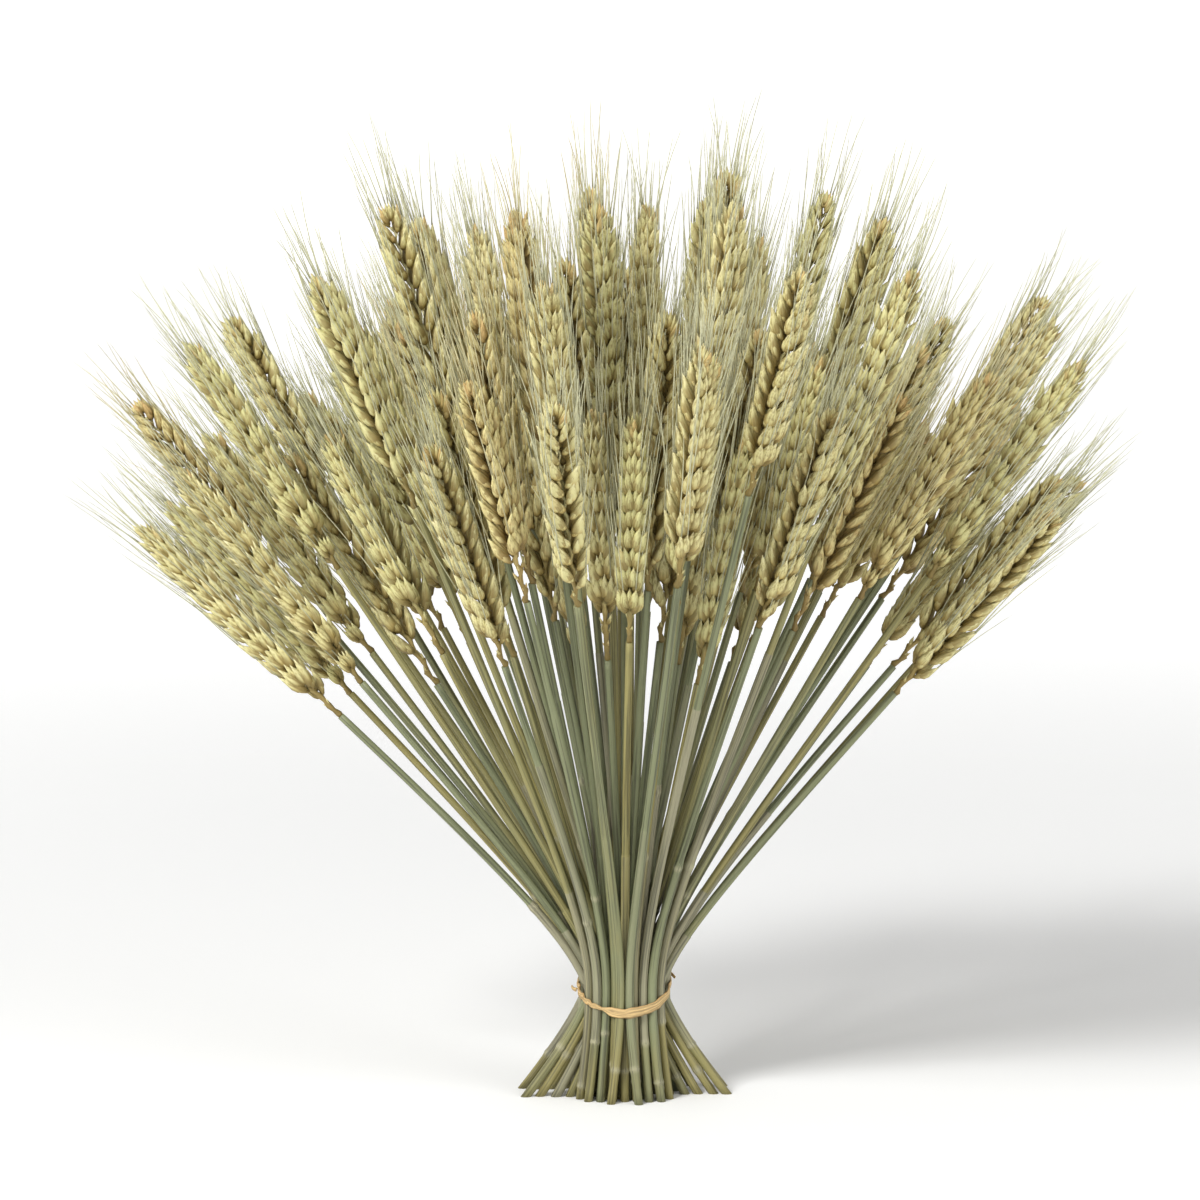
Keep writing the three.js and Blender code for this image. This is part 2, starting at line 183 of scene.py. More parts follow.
# A spikelet: form, place outwards, sideways and up, lean outwards and sideways, turn, size, and awn odds
SPIKELET = (
    ("glume", (1.3, 1.2, -0.6), (13, 20), 74, 0.9, 0.0),
    ("glume", (1.3, -1.2, -0.6), (13, -20), -74, 0.9, 0.0),
    ("lemma", (1.8, 1.1, 0.6), (15, 16), 56, 1.04, 0.9),
    ("lemma", (1.8, -1.1, 0.6), (15, -16), -56, 1.04, 0.9),
    ("lemma", (2.1, 0.6, 2.4), (18, 8), 26, 0.96, 0.35),
    ("lemma", (2.1, -0.6, 2.4), (18, -8), -26, 0.96, 0.35),
    ("lemma", (2.2, 0.0, 4.6), (15, 0), 0, 0.8, 0.1),
)
STUBBED_STEPS = (1, 3, 2, 4, 1, 3, 2)  # steps at the foot of each kind of ear that carry a mere stub
STUB_SIZE = 0.42

# The raffia: its height at angles round the bundle, in degrees from +X towards +Y
RIBBON_STEPS = 240
RIBBON_ROWS = 10
RIBBON_HEIGHTS = (
    (0, 2.3),
    (40, 3.0),
    (120, 3.2),
    (172, 2.0),
    (205, 2.3),
    (228, 1.9),
    (243, 1.5),
    (256, 3.4),
    (278, 3.7),
    (315, 3.4),
    (345, 2.5),
    (360, 2.3),
)
RIBBON_TILT = 5
RIBBON_RISE = 1.6
RIBBON_GAP = 0.12
RIBBON_LIFT = 0.12  # of the outer side, at its edges
RIBBON_CROWN = 0.22
WRINKLED_ANGLE = 212
WRINKLED_SPREAD = 30
RING_RADIUS = 20
RING_HEIGHT = 4
FIBRE_HALF_WIDTH = 1.8  # half the width of the raffia in its pattern
STRIP_ROWS = 4
STRIP_CROWN = 0.25
STRIP_FIBRE_START = 40

# The knot, and the end of a twisted ply
KNOT_ANGLE = 46
KNOT_CLEARANCE = 1.0
KNOT_STEPS = 24
KNOT_HALF_DEPTH = 1.25
KNOT_HALF_HEIGHT = 2.1
KNOT_STRIP_WIDTH = 2.6
KNOT_TURNS = ((0.45, 1.0), (-0.5, 0.86))  # lean round the bundle, and size
KNOT_ENDS = ((-6.2, -2.2, 2.2), (6.2, -1.8, 2.2))  # reach round the bundle, rise and width
END_STEPS = 8
END_BOW = (0.5, 1.9, 1.3)  # how far a cut end stands out at its root, grows along it, and turns back
END_FACES_UP = 0.4
END_NARROWS = 0.4
PLY_END_ANGLE = 198
PLY_END = (-3.6, 0.8, 1.5)
UPWARDS = np.array([0.0, 0.0, 1.0])

# The camera and the light, in metres and degrees
PICTURE_WIDTH = 0.436  # across the picture, at the bundle
PICTURE_CENTRE = (-0.009, 0.0, 0.181)
CAMERA_ELEVATION = 5
CAMERA_LENS = 120
SENSOR_WIDTH = 36
FLOOR_SIDES = 96
SWEEP_STEPS = 10
SWEEP_DEPTH = 2.0
SWEEP_ANGLE = 80
SWEEP_GLOW = 0.33
FLOOR_FADE = (0.3, 2.2)  # distances between which the floor turns into the sweep's colour
KEY_LIGHT = ((-1.3, -1.5, 1.7), 0.9, 66)  # place, width and watts
FILL_LIGHT = ((1.6, -1.2, 0.9), 1.4, 16)
ROOM_LIGHT = 0.5


def length_property(name, description, default):
    return bpy.props.FloatProperty(
        name=name, description=description, default=default, min=0.0, precision=5, unit="LENGTH"
    )


def colour_property(name, description, default):
    return bpy.props.FloatVectorProperty(
        name=name, description=description, default=default, min=0.0, max=1.0, subtype="COLOR"
    )


class WheatSizes(bpy.types.PropertyGroup):
    """Sizes of the wheat and of its tie."""

    stem_width: length_property("Stem width", "Width of a stem at its foot", 0.0032)
    awn_width: length_property("Awn width", "Width of an awn at its root", 0.00056)
    ribbon_thickness: length_property("Raffia thickness", "Thickness of the raffia strip", 0.00045)
    floor_radius: length_property("Floor radius", "Radius of the flat floor that the bundle stands on", 2.4)
    sweep_height: length_property("Sweep height", "Height that the floor sweeps up to all round", 1.7)


class WheatColours(bpy.types.PropertyGroup):
    """Colours of the wheat, of its tie and of the floor."""

    stem_green: colour_property("Green stem", "Stem that dried green", (0.19, 0.205, 0.108))
    stem_grey: colour_property("Grey sheath", "Leaf sheath that is left on the stem", (0.275, 0.258, 0.165))
    stem_yellow: colour_property("Yellow stem", "Stem that dried yellow", (0.27, 0.235, 0.085))
    husk_pale: colour_property("Pale husk", "Most husks", (0.60, 0.55, 0.262))
    # The husks' own brown at the root; the husk material also darkens it into painted shade at roots and
    # margins.
    husk_deep: colour_property("Husk root", "Husks near their root", (0.47, 0.34, 0.10))
    husk_tip: colour_property("Husk tip", "Husks near their tip", (0.68, 0.63, 0.36))
    golden_pale: colour_property("Golden husk", "Husks of the riper ears", (0.61, 0.525, 0.24))
    # The riper husks' own brown at the root; also darkened into painted shade at roots and margins.
    golden_deep: colour_property("Golden root", "Riper husks near their root", (0.46, 0.315, 0.095))
    awn: colour_property("Awn", "Awns", (0.54, 0.53, 0.34))
    golden_awn: colour_property("Golden awn", "Awns of the riper ears", (0.56, 0.515, 0.30))
    raffia: colour_property("Raffia", "Raffia strip", (0.60, 0.42, 0.19))
    raffia_dark: colour_property("Raffia edge", "Raffia at its edges and fibres", (0.33, 0.18, 0.06))
    floor: colour_property("Floor", "Floor under the bundle", (0.86, 0.86, 0.85))
    sweep: colour_property("Sweep", "Floor where it sweeps up", (0.97, 0.97, 0.965))


def mix(low, high, share):
    return low + (high - low) * share


def chance(stalk, use):
    """A number from 0 to 1 that is always the same for one stalk and one use."""
    wide = math.sin(stalk * 127.1 + (use + SEED) * 311.7) * 43758.5453
    return wide - math.floor(wide)


def stray(stalk, use, most):
    return mix(-most, most, chance(stalk, use))


@dataclass
class Stalk:
    """The line of one stalk: where it passes the waist, and its slopes above and below."""

    number: int
    x: float
    y: float
    lean: float
    slope: tuple
    flare: tuple
    sway: tuple
    roll: float
    ear: float
    reach: float

    def points(self, heights):
        """Points of its middle line at heights above the band."""
        above = heights > 0
        bend = np.where(above, BEND_ABOVE, BEND_BELOW)
        opened = np.hypot(heights, bend) - bend
        swayed = np.where(above, (heights / SWAY_HEIGHT) ** 2, 0)
        x, y = (np.where(above, self.slope[axis], self.flare[axis]) * opened for axis in (0, 1))
        return np.column_stack(
            [
                self.x + self.lean * heights + x + self.sway[0] * swayed,
                self.y + y + self.sway[1] * swayed,
                BAND_HEIGHT + heights,
            ]
        )

    def height_after(self, length):
        """Height above the band at which it has run a given length from the band."""
        points = self.points(np.arange(0.0, TALL_REACH * 1.5))
        runs = np.linalg.norm(np.diff(points, axis=0), axis=1).cumsum()
        return 1 + int(np.searchsorted(runs, length))


def half_chord(row):
    return math.sqrt(WAIST_RADIUS**2 - (row * ROW_PITCH) ** 2)


def lean_of(row):
    """Slope of a row where it passes the band."""
    if row == 0 or abs(row) > LEANING_ROW:
        return 0
    return math.copysign(ROW_LEAN, row) * (-1 if row % 2 == 0 else 1)


def fan_of(row):
    """Angles of the stems at the left and the right end of a row."""
    lean = lean_of(row)
    if lean == 0:
        return FRONT_FAN if row < -LEANING_ROW else UPRIGHT_FAN
    return RIGHT_FAN if lean > 0 else LEFT_FAN


def places_in_row(row):
    """Places of the stems of a row in their groups, from left to right."""
    paired = abs(row) <= PAIRED_ROW
    pressed = PRESSED_PITCH * math.hypot(1, lean_of(row)) if paired else SINGLE_PITCH
    loose = LOOSE_PITCH if paired else SINGLE_PITCH
    right = [0 if row % 2 == 0 else pressed / 2]
    gap = loose
    while right[-1] + gap < half_chord(row):
        right.append(right[-1] + gap)
        gap = pressed if gap == loose else loose
    middle = [0] if row % 2 == 0 else [-right[0], right[0]]
    groups = [right[first : first + 2] for first in range(1, len(right), 2)]
    mirrored = [[-x for x in reversed(group)] for group in reversed(groups)]
    groups = [*mirrored, middle, *groups]
    return groups if paired else [[x] for group in groups for x in group]


def stalk_at(number, row, x, order, last):
    central = row == 0 and x == 0
    loose = 0 if central else 1
    lean = lean_of(row)
    share = order / last
    side = 2 * share - 1
    fan = mix(*fan_of(row), share) * math.sqrt(half_chord(row) / WAIST_RADIUS)
    depth = DEPTH_FAN * row / OUTER_ROW + stray(number, DEPTH_DRAW, DEPTH_STRAY * loose)
    slope = (math.tan(math.radians(fan)), math.tan(math.radians(depth)))
    leaned = math.atan(math.hypot(*slope)) / math.radians(45)
    tier = TIERS[(OUTER_ROW + row + 2 * order) % len(TIERS)]
    tallest = TALL_REACH - REACH_LOST_BY_LEANING * leaned**LEANING_POWER
    trailing = side if side * lean < 0 else 0
    return Stalk(
        number=number,
        x=x,
        y=row * ROW_PITCH,
        lean=lean,
        slope=(slope[0] - lean, slope[1]),
        flare=(
            (FLARE_SIDE_OF_ALL * side + trailing) * FLARE_SIDE,
            row / OUTER_ROW * FLARE_DEPTH + stray(number, FLARE_DRAW, FLARE_DEPTH_STRAY * loose),
        ),
        sway=tuple(stray(number, draw, MOST_SWAY * loose) for draw in SWAY_DRAWS),
        roll=math.pi * chance(number, ROLL_DRAW),
        ear=mix(*EAR_LENGTHS, chance(number, LENGTH_DRAW)),
        reach=mix(SHORT_REACH, tallest, tier) + stray(number, REACH_DRAW, REACH_SPREAD),
    )


def stalk_groups():
    """All the stalks, in the groups that share a node, from the front row to the back."""
    groups = []
    number = 0
    for row in range(-OUTER_ROW, OUTER_ROW + 1):
        places = places_in_row(row)
        last = sum(map(len, places)) - 1
        order = 0
        for group in places:
            stalks = []
            for x in group:
                stalks.append(stalk_at(number, row, x, order, last))
                number += 1
                order += 1
            groups.append(stalks)
    return groups


# Shader maths


class Wire:
    """A node's output. Sums on wires and numbers add their Math nodes."""

    def __init__(self, recipe, socket):
        self.recipe = recipe
        self.socket = socket

    def math(self, operation, *values, clamp=False):
        settings = {"operation": operation, "use_clamp": clamp}
        return self.recipe.node("ShaderNodeMath", settings, dict(enumerate(values)))

    def __add__(self, other):
        return self.math("ADD", self, other)

    def __radd__(self, other):
        return self.math("ADD", other, self)

    def __sub__(self, other):
        return self.math("SUBTRACT", self, other)

    def __rsub__(self, other):
        return self.math("SUBTRACT", other, self)

    def __mul__(self, other):
        return self.math("MULTIPLY", self, other)

    def __rmul__(self, other):
        return self.math("MULTIPLY", other, self)

    def __pow__(self, other):
        return self.math("POWER", self, other)

    def between(self, low, high):
        """0 where it is below the low value, 1 above the high one, and smooth in between."""
        settings = {"interpolation_type": "SMOOTHSTEP"}
        values = {"Value": self, "From Min": low, "From Max": high}
        return self.recipe.node("ShaderNodeMapRange", settings, values)


class Recipe:
    """The nodes of one material."""

    def __init__(self, name):
        self.material = bpy.data.materials.new(name)
        self.material.use_nodes = True
        self.tree = self.material.node_tree
        self.tree.nodes.clear()

    def node(self, kind, settings=None, values=None, output=None):
        """Adds a node, with its settings and then its sockets' values or wires, and gives an output."""
        node = self.tree.nodes.new(kind)
        for key, value in (settings or {}).items():
            setattr(node, key, value)
        for key, value in (values or {}).items():
            named = [s for s in node.inputs if s.enabled and s.name == key]
            socket = node.inputs[key] if isinstance(key, int) else named[0]
            if isinstance(value, Wire):
                self.tree.links.new(value.socket, socket)
            else:
                socket.default_value = value
        outputs = [s for s in node.outputs if s.enabled and output in (None, s.name)]
        return Wire(self, outputs[0]) if outputs else node

    def mark(self, name, output="Fac"):
        """An attribute that the mesh carries."""
        settings = {"attribute_type": "GEOMETRY", "attribute_name": name}
        return self.node("ShaderNodeAttribute", settings, output=output)

    def across(self, vector):
        """The Y of a vector: on a straight form, how far a point is from its middle line."""
        return self.node("ShaderNodeSeparateXYZ", values={"Vector": vector}, output="Y")

    def stretched(self, vector, scales, offset=(0.0, 0.0, 0.0)):
        settings = {"operation": "MULTIPLY_ADD"}
        return self.node("ShaderNodeVectorMath", settings, {0: vector, 1: scales, 2: offset})

    def noise(self, vector, scale=1.0, detail=2.0, roughness=0.5):
        values = {"Vector": vector, "Scale": scale, "Detail": detail, "Roughness": roughness}
        return self.node("ShaderNodeTexNoise", values=values, output="Fac")

    def blend(self, first, second, factor):
        """A colour between two, where the factor goes from 0 to 1."""
        settings = {"data_type": "RGBA", "clamp_factor": True}
        return self.node("ShaderNodeMix", settings, {"Factor": factor, "A": first, "B": second})

    def shaded(self, first, share, factor):
        """A colour, darkened to a share of itself where the factor is 1."""
        settings = {"data_type": "RGBA", "blend_type": "MULTIPLY", "clamp_factor": True}
        values = {"Factor": factor, "A": first, "B": colour((share,) * 3)}
        return self.node("ShaderNodeMix", settings, values)

    def bump(self, height, distance, strength=1.0):
        values = {"Height": height, "Distance": distance, "Strength": strength}
        return self.node("ShaderNodeBump", values=values)

    def finish(self, **values):
        """The surface itself. Sockets are named with _ for a space."""
        sockets = {key.replace("_", " "): value for key, value in values.items()}
        surface = self.node("ShaderNodeBsdfPrincipled", values=sockets)
        self.node("ShaderNodeOutputMaterial", values={"Surface": surface})
        return self.material


def colour(values):
    return (*values, 1.0)


def darker(values, share):
    return tuple(value * share for value in values)


def straw_material(name, colours):
    """Stems: fine ribs along them, sheaths that dried grey, swollen joints and weathered patches."""
    recipe = Recipe(name)
    fibre = recipe.mark("fibre", "Vector")
    tone = recipe.mark("tone")
    sheath = recipe.mark("sheath")
    joint = recipe.mark("joint")
    share = recipe.mark("share")
    ribs = recipe.noise(recipe.stretched(fibre, (1.3, 1.3, 0.014)), detail=3.0, roughness=0.65)
    streaks = recipe.noise(recipe.stretched(fibre, (0.9, 0.9, 0.025), (7.0, 3.0, 1.0)), detail=2.0)
    patches = recipe.noise(recipe.stretched(fibre, (0.25, 0.25, 0.045)), detail=3.0)
    green = colour(colours.stem_green)
    yellow = colour(colours.stem_yellow)
    low = 1 - share.between(0.03, 0.25)
    bare = recipe.blend(green, yellow, (tone * 1.2 + patches * 0.7 + low * 0.6).between(0.75, 1.6))
    grey = recipe.node("ShaderNodeMath", {"operation": "FRACT"}, {0: tone * 7.0})
    covered = recipe.blend(colour(colours.stem_grey), bare, (streaks * 0.5 + grey * 0.9).between(0.3, 1.0))
    base = recipe.blend(bare, covered, sheath)
    base = recipe.blend(base, colour(darker(colours.stem_grey, 1.4)), joint * 0.75)
    base = recipe.shaded(base, 0.82, 1 - (share + streaks * 0.1).between(0.05, 0.32))
    shaded = recipe.shaded(base, 0.36, (1 - ribs).between(0.46, 0.64) * 0.85)
    return recipe.finish(
        Base_Color=shaded,
        Roughness=0.42 + ribs * 0.25,
        Normal=recipe.bump(ribs, 0.0003, 0.6),
        Specular_IOR_Level=0.4,
    )


def husk_material(name, pale, deep, tip):
    """Husks: nerves along them, bleached at the tip, each with its own tint; brown towards the root and
    darkened further there with painted shade, with painted contact shadow along the margins.
    """
    recipe = Recipe(name)
    fibre = recipe.mark("fibre", "Vector")
    share = recipe.mark("share")
    tint = recipe.mark("tint")
    tone = recipe.mark("tone")
    nerves = recipe.noise(recipe.stretched(fibre, (1.5, 1.5, 0.07)), detail=3.0, roughness=0.6)
    patches = recipe.noise(fibre, scale=0.45, detail=2.0)
    # How near a point lies to a husk's edges: for its brown margin and for painted contact shadow where
    # husks touch.
    margin_and_contact_shadow = (recipe.across(fibre) ** 2).between(0.5, 3.2)
    # Brown towards the root: partly the husks' own colour, partly painted shade in the crevices between
    # husks.
    body = recipe.blend(colour(deep), colour(pale), (share + nerves * 0.3 + tint * 0.25).between(0.32, 0.8))
    body = recipe.blend(body, colour(tip), (share + nerves * 0.2).between(0.72, 1.1))
    green = colour((pale[0] * 0.78, pale[1] * 0.86, pale[2] * 0.76))
    body = recipe.blend(body, green, (tone + patches * 0.5).between(0.7, 1.25) * 0.45)
    amber = colour((deep[0] * 1.1, deep[1] * 0.94, deep[2] * 1.1))
    body = recipe.blend(body, amber, (tint + patches * 0.5).between(0.85, 1.15) * 0.7)
    # Darker along the edges: partly brown margins, partly painted contact shadow.
    body = recipe.blend(body, colour(darker(deep, 0.45)), margin_and_contact_shadow * 0.75)
    # Painted shade: darkest at the root, which lies under the husk below it.
    body = recipe.blend(colour(darker(deep, 0.4)), body, share.between(0.0, 0.36))
    lined = recipe.blend(body, colour(darker(deep, 0.5)), (1 - nerves).between(0.45, 0.68) * 0.75)
    return recipe.finish(
        Base_Color=lined,
        Roughness=0.45 + nerves * 0.25,
        Normal=recipe.bump(nerves, 0.0005, 0.7),
        Specular_IOR_Level=0.4,
    )


def awn_material(name, pale, deep):
    """Awns: pale bristles, darker near the root and spotted along their length."""
    recipe = Recipe(name)
    fibre = recipe.mark("fibre", "Vector")
    share = recipe.mark("share")
    tint = recipe.mark("tint")
    spots = recipe.noise(fibre, scale=0.35, detail=2.0)
    body = recipe.blend(colour(darker(pale, 0.8)), colour(pale), (share + tint * 0.5).between(0.1, 0.8))
    body = recipe.blend(body, colour(darker(deep, 0.8)), (spots + tint * 0.4).between(0.72, 1.0) * 0.7)
    return recipe.finish(Base_Color=body, Roughness=0.45 + spots * 0.2, Specular_IOR_Level=0.4)


def raffia_material(name, colours):
    """Raffia: long fibres round the bundle, split and darker at the edges."""
    recipe = Recipe(name)
    fibre = recipe.mark("fibre", "Vector")
    edge = recipe.mark("share")
    fibres = recipe.noise(recipe.stretched(fibre, (0.07, 1.5, 1.5)), detail=4.0, roughness=0.65)
    cloud = recipe.noise(recipe.stretched(fibre, (0.08, 0.5, 0.5)), detail=2.0)
    pale = colour(colours.raffia)
    dark = colour(darker(colours.raffia, 0.5))
    body = recipe.blend(dark, pale, (fibres + cloud * 0.4).between(0.58, 0.8))
    body = recipe.blend(body, colour(colours.raffia_dark), (edge + fibres * 0.4).between(0.95, 1.3) * 0.75)
    return recipe.finish(
        Base_Color=body,
        Roughness=0.5 + fibres * 0.25,
        Normal=recipe.bump(fibres, 0.0006, 0.8),
        Specular_IOR_Level=0.35,
    )


def floor_material(name, pale, swept):
    """Plain pale floor with a faint unevenness, which glows softly where it sweeps up."""
    recipe = Recipe(name)
    place = recipe.node("ShaderNodeTexCoord", output="Object")
    cloud = recipe.noise(place, scale=1.5)
    length = recipe.node("ShaderNodeVectorMath", {"operation": "LENGTH"}, {0: place}, output="Value")
    body = recipe.blend(colour(darker(pale, 0.98)), colour(pale), cloud)
    far = length.between(*FLOOR_FADE)
    body = recipe.blend(body, colour(swept), far)
    glow = recipe.blend(colour((0, 0, 0)), colour(darker(swept, SWEEP_GLOW)), far)
    return recipe.finish(Base_Color=body, Roughness=0.7, Emission_Color=glow, Emission_Strength=1.0)


# Meshes


def activate(thing):
    bpy.ops.object.select_all(action="DESELECT")
    thing.select_set(True)
    bpy.context.view_layer.objects.active = thing


def set_mark(mesh, name, values):
    """Stores a number for every point of a mesh."""
    mark = mesh.attributes.get(name) or mesh.attributes.new(name, "FLOAT", "POINT")
    values = np.broadcast_to(np.asarray(values, np.float32), len(mesh.vertices))
    mark.data.foreach_set("value", np.ascontiguousarray(values))


def set_fibre(mesh, places):
    """Stores each point's place on the straight form, in millimetres, for patterns that follow it."""
    mark = mesh.attributes.get("fibre") or mesh.attributes.new("fibre", "FLOAT_VECTOR", "POINT")
    mark.data.foreach_set("vector", np.ascontiguousarray(places, np.float32).ravel())


def fibre_of(mesh):
    places = np.empty(len(mesh.vertices) * 3, np.float32)
    mesh.attributes["fibre"].data.foreach_get("vector", places)
    return places.reshape(-1, 3)


def places_of(mesh):
    """Points of a mesh, in millimetres."""
    places = np.empty(len(mesh.vertices) * 3, np.float32)
    mesh.vertices.foreach_get("co", places)
    return places.reshape(-1, 3).astype(float) / MM


def move_to(mesh, places):
    mesh.vertices.foreach_set("co", np.ascontiguousarray(places * MM, np.float32).ravel())
    mesh.update()


def draw_out(name, sides, sections, material):
    """Draws a closed form out of a circle. A section is its centre, half its size along X and along Y."""
    bpy.ops.object.select_all(action="DESELECT")
    (centre, wide, deep), *rest = sections
    bpy.ops.mesh.primitive_circle_add(
        vertices=sides, radius=MM, fill_type="NGON", rotation=(0, 0, -math.pi / 2)
    )
    form = bpy.context.active_object
    form.name = name
    bpy.ops.object.transform_apply(location=False, rotation=True, scale=False)
    bpy.ops.object.mode_set(mode="EDIT")
    bpy.ops.mesh.select_all(action="SELECT")
    bpy.ops.transform.resize(value=(wide, deep, 1), center_override=(0, 0, 0))
    bpy.ops.transform.translate(value=Vector(centre) * MM)
    for next_centre, next_wide, next_deep in rest:
        step = (Vector(next_centre) - Vector(centre)) * MM
        bpy.ops.mesh.extrude_region_move(TRANSFORM_OT_translate={"value": step})
        if next_wide == 0:
            bpy.ops.mesh.merge(type="CENTER")
            break
        ratio = (next_wide / wide, next_deep / deep, 1)
        bpy.ops.transform.resize(value=ratio, center_override=Vector(next_centre) * MM)
        centre, wide, deep = next_centre, next_wide, next_deep
    bpy.ops.mesh.select_all(action="SELECT")
    bpy.ops.mesh.normals_make_consistent(inside=False)
    bpy.ops.object.mode_set(mode="OBJECT")
    bpy.ops.object.shade_smooth()
    form.data.materials.append(material)
    places = places_of(form.data)
    set_fibre(form.data, places)
    set_mark(form.data, "share", places[:, 2] / places[:, 2].max())
    return form


def copy_of(form, place, **marks):
    """A copy of a form with a mesh of its own, in its place, with the same marks all over."""
    copy = bpy.data.objects.new(form.name, form.data.copy())
    copy.data.transform(place)
    for name, value in marks.items():
        set_mark(copy.data, name, value)
    bpy.context.scene.collection.objects.link(copy)
    return copy


def joined(name, things):
    activate(things[0])
    for thing in things:
        thing.select_set(True)
    bpy.ops.object.join()
    things[0].name = name
    things[0].data.name = name
    return things[0]


def scrap(things):
    for thing in things:
        bpy.data.meshes.remove(thing.data)


# Stalks


def is_sheathed(height, joints, sheath_end):
    """A leaf sheath wraps the stem from its lowest joint up to the sheath's end."""
    return min(joints, default=0) <= height < sheath_end


def swelling(height, joints):
    """How swollen a stem is at a height: 1 at a joint, and next to nothing 3 mm away from it."""
    return sum(math.exp(-(((height - joint) / JOINT_HALF_LENGTH) ** 2)) for joint in joints)


def stem_radius(height, joints, sheath_end, foot):
    """Radius of a straight stem: it tapers, swells at its joints and steps out where it is sheathed."""
    radius = foot * mix(1, STEM_TAPER, height / STEM_LENGTH)
    radius += JOINT_SWELL * swelling(height, joints)
    return radius + (SHEATH_STEP if is_sheathed(height, joints, sheath_end) else 0)


def straight_stem(kind, foot, material):
    """A hollow straw with its joints and the end of its leaf sheath."""
    joints, sheath_end = STEM_KINDS[kind]
    heights = set(range(0, STEM_LENGTH + 1, STEM_STEP))
    heights.update(joint + share * JOINT_HALF_LENGTH for joint in joints for share in JOINT_SECTIONS)
    heights.update((sheath_end - SHEATH_EDGE, sheath_end + SHEATH_EDGE))
    hollow = foot * HOLLOW_SHARE
    sections = [((0, 0, HOLLOW_DEPTH), hollow, hollow), ((0, 0, 0), hollow, hollow)]
    for height in sorted(heights):
        radius = stem_radius(height, joints, sheath_end, foot)
        sections.append(((0, 0, height), radius, radius))
    stem = draw_out(f"stem_{kind}", STEM_SIDES, sections, material)
    heights = places_of(stem.data)[:, 2]
    set_mark(stem.data, "joint", [swelling(height, joints) for height in heights])
    set_mark(stem.data, "sheath", [is_sheathed(height, joints, sheath_end) for height in heights])
    return stem


def husk_form(name, sections, material):
    """One husk: a boat that bulges outwards, with a keel along its back and a pointed tip."""
    sections = [((shift, 0, height), thick, wide) for height, shift, thick, wide in sections]
    husk = draw_out(name, HUSK_SIDES, sections, material)
    places = places_of(husk.data)
    bpy.ops.object.mode_set(mode="EDIT")
    bpy.ops.mesh.select_all(action="DESELECT")
    bpy.ops.object.mode_set(mode="OBJECT")
    start, end = (share * places[:, 2].max() for share in KEEL_SPAN)
    for vertex, (x, y, z) in zip(husk.data.vertices, places):
        vertex.select = bool(abs(y) < 0.01 and x > 0.3 and start < z < end)
    bpy.ops.object.mode_set(mode="EDIT")
    bpy.ops.transform.translate(value=(KEEL * MM, 0, 0))
    bpy.ops.object.mode_set(mode="OBJECT")
    return husk


def awn_form(kind, root, material):
    """A long bristle that bends a little."""
    bow = AWN_BOWS[kind]
    sections = []
    for height, size in AWN_SECTIONS:
        shift = bow * (height / AWN_FORM_LENGTH) ** 2
        sections.append(((shift, 0, height), root * size, root * size))
    sections.append(((bow, 0, AWN_FORM_LENGTH), 0, 0))
    return draw_out(f"awn_{kind}", AWN_SIDES, sections, material)


def spikelet_height(step):
    """Height of a spikelet's foot on a straight ear."""
    return 1 + (TOP_SPIKELET - 1) * (1 - (1 - step / (SPIKELETS - 1)) ** CROWDING)


def rachis_form(material):
    """The spine of an ear: it steps to the left and to the right by turns and is knobbed at each step."""
    sections = []
    for step in range(SPIKELETS):
        side = 1 if step % 2 == 0 else -1
        height = spikelet_height(step)
        between = mix(spikelet_height(step - 1), height, 0.5)
        size = mix(1.0, SPINE_AT_TIP, step / SPIKELETS)
        for place, (shift, thick, wide) in ((between, SPINE), (height, SPINE_KNOB)):
            sections.append(((shift * side, 0, place), thick * size, wide * size))
    return draw_out("rachis", SPINE_SIDES, sections, material)


def fullness(share):
    """How full the ear is at a share of its length, which is 0 at the neck and 1 at the tip."""
    from_neck = mix(FULL_AT_NECK, 1, min(1, share / WIDENS_OVER))
    from_tip = mix(FULL_AT_TIP, 1, min(1, (1 - share) / NARROWS_OVER))
    return min(from_neck, from_tip)


def lean_matrix(outwards, sideways):
    """Leans what stands upright, in degrees."""
    out = Matrix.Rotation(math.radians(outwards), 4, "Y")
    return out @ Matrix.Rotation(-math.radians(sideways), 4, "X")


def husk_place(husk, dice):
    """Where one husk stands in its spikelet."""
    _, place, (outwards, sideways), turn, size, _ = husk
    lean = lean_matrix(outwards + dice.gauss(0, HUSK_LEAN_STRAY), sideways + dice.gauss(0, HUSK_LEAN_STRAY))
    turned = Matrix.Rotation(math.radians(turn + dice.gauss(0, HUSK_TURN_STRAY)), 4, "Z")
    sized = Matrix.Scale(size * dice.uniform(*HUSK_SIZES), 4)
    return Matrix.Translation(Vector(place) * MM) @ lean @ turned @ sized


def spikelet_place(step, dice):
    """Where a spikelet stands on a straight ear: left and right by turns, the last one on top."""
    top = step == SPIKELETS - 1
    share = step / (SPIKELETS - 1)
    turn = math.pi * (step % 2) + math.radians(dice.gauss(0, SPIKELET_TURN_STRAY))
    back = Matrix.Translation((-TOP_SETBACK * MM, 0, 0)) if top else Matrix()
    up = Matrix.Translation((0, 0, spikelet_height(step) * MM))
    turned = Matrix.Rotation(turn + (math.pi / 2 if top else 0), 4, "Z")
    outwards = dice.gauss(TOP_LEAN if top else 0, SPIKELET_LEAN_STRAY)
    lean = lean_matrix(outwards, dice.gauss(0, SPIKELET_LEAN_STRAY))
    return up @ turned @ back @ lean @ Matrix.Scale(fullness(share), 4)


